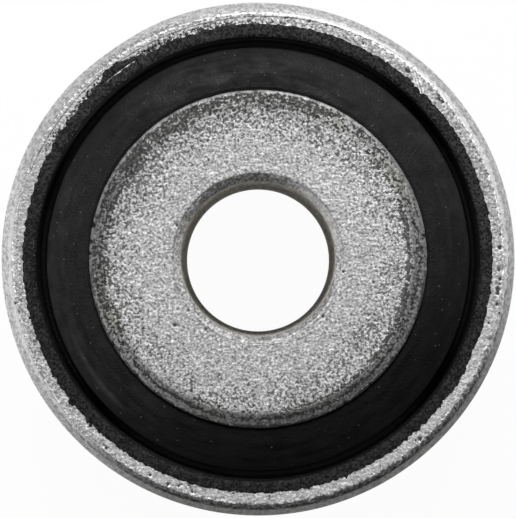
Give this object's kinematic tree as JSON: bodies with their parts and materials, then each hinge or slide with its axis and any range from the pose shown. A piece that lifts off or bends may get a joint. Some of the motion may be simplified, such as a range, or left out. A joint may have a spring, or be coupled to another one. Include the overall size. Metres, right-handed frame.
{
  "type": "rubber metal bush",
  "caption": "Bonded rubber and metal bush with a thick bored steel core, a moulded rubber ring and a thin steel sleeve, pressed into a housing to cushion a pivot bolt.",
  "frame": {"origin": "in the bore on its axis, halfway between the two end faces of the core", "axes": "+Z along the bore axis towards one end; both ends are alike; X and Y are free to choose"},
  "size_m": [0.04, 0.04, 0.05],
  "materials": {
    "core_steel": "shot-blasted, with rubber film and dirt round the rim",
    "sleeve_steel": "shot-blasted end face, smooth grey lead-in and outer wall",
    "rubber": "semi-matt moulded black, lightly dusty"
  },
  "bodies": {
    "root": {"inner_sleeve": "core_steel", "outer_sleeve": "sleeve_steel", "rubber_body": "rubber"}
  },
  "joints": []
}
